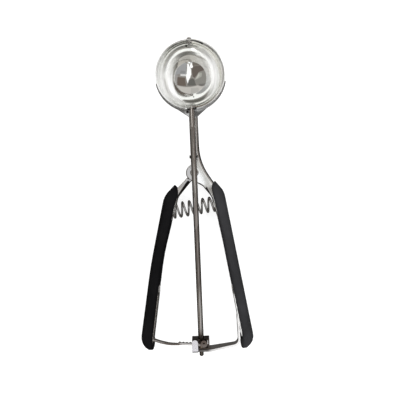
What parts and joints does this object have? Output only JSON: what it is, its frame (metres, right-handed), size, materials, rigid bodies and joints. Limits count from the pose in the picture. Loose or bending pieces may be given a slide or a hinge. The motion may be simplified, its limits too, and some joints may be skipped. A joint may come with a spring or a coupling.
{
  "type": "lever ice cream scoop",
  "caption": "Lever ice cream scoop: squeezing its sprung handles moves a rack and a gear that sweep a scraper blade round the bowl.",
  "frame": {"origin": "centre of the bowl's mouth, on the plane of its rim", "axes": "+Z out of the bowl's mouth, +Y along the drive shaft from the handles to the bowl, +X towards the fixed handle"},
  "size_m": [0.0797, 0.2286, 0.0339],
  "materials": {
    "polished_steel": "polished stainless steel, with fine scratches",
    "bowl_steel": "mirror-polished stainless steel",
    "shaft_steel": "drawn rod, brownish grey, brushed along its length",
    "gear_steel": "machined steel, slightly tarnished",
    "spring_steel": "plated spring wire",
    "grip_rubber": "soft matte black, with a fine grain"
  },
  "bodies": {
    "frame": {"bowl": "bowl_steel", "bowl_cradle": "polished_steel", "blade_pivot": "polished_steel", "frame_channel": "polished_steel", "shaft_guide": "polished_steel", "hinge_pin": "polished_steel", "hinge_sleeve": "polished_steel", "right_grip": "grip_rubber", "right_spring_seat": "polished_steel", "bearing_arm": "polished_steel", "bearing_arm_rivets": "polished_steel", "gear_bracket": "gear_steel", "return_spring": "spring_steel"},
    "lever": {"lever_channel": "polished_steel", "left_grip": "grip_rubber", "left_spring_seat": "polished_steel", "rack_arm": "polished_steel", "rack_rivets": "polished_steel"},
    "scraper": {"drive_shaft": "shaft_steel", "scraper_blade": "bowl_steel", "blade_rivet": "polished_steel", "pinion": "gear_steel", "pinion_pin": "gear_steel"}
  },
  "joints": [
    {"name": "lever_squeeze", "type": "hinge", "parent": "frame", "child": "lever", "pos_m": [0, -0.0698, 0], "axis": [0, 0, 1], "range_deg": [0, 5], "stiffness_Nm_per_rad": 2, "springref_deg": -17.19, "deforming": ["return_spring"]},
    {"name": "scraper_turn", "type": "hinge", "parent": "frame", "child": "scraper", "pos_m": [0, -0.1, -0.0026], "axis": [0, 1, 0], "range_deg": [0, 152]}
  ],
  "couplings": [
    {"joint": "scraper_turn", "follows": "lever_squeeze", "ratio": 30.3}
  ]
}
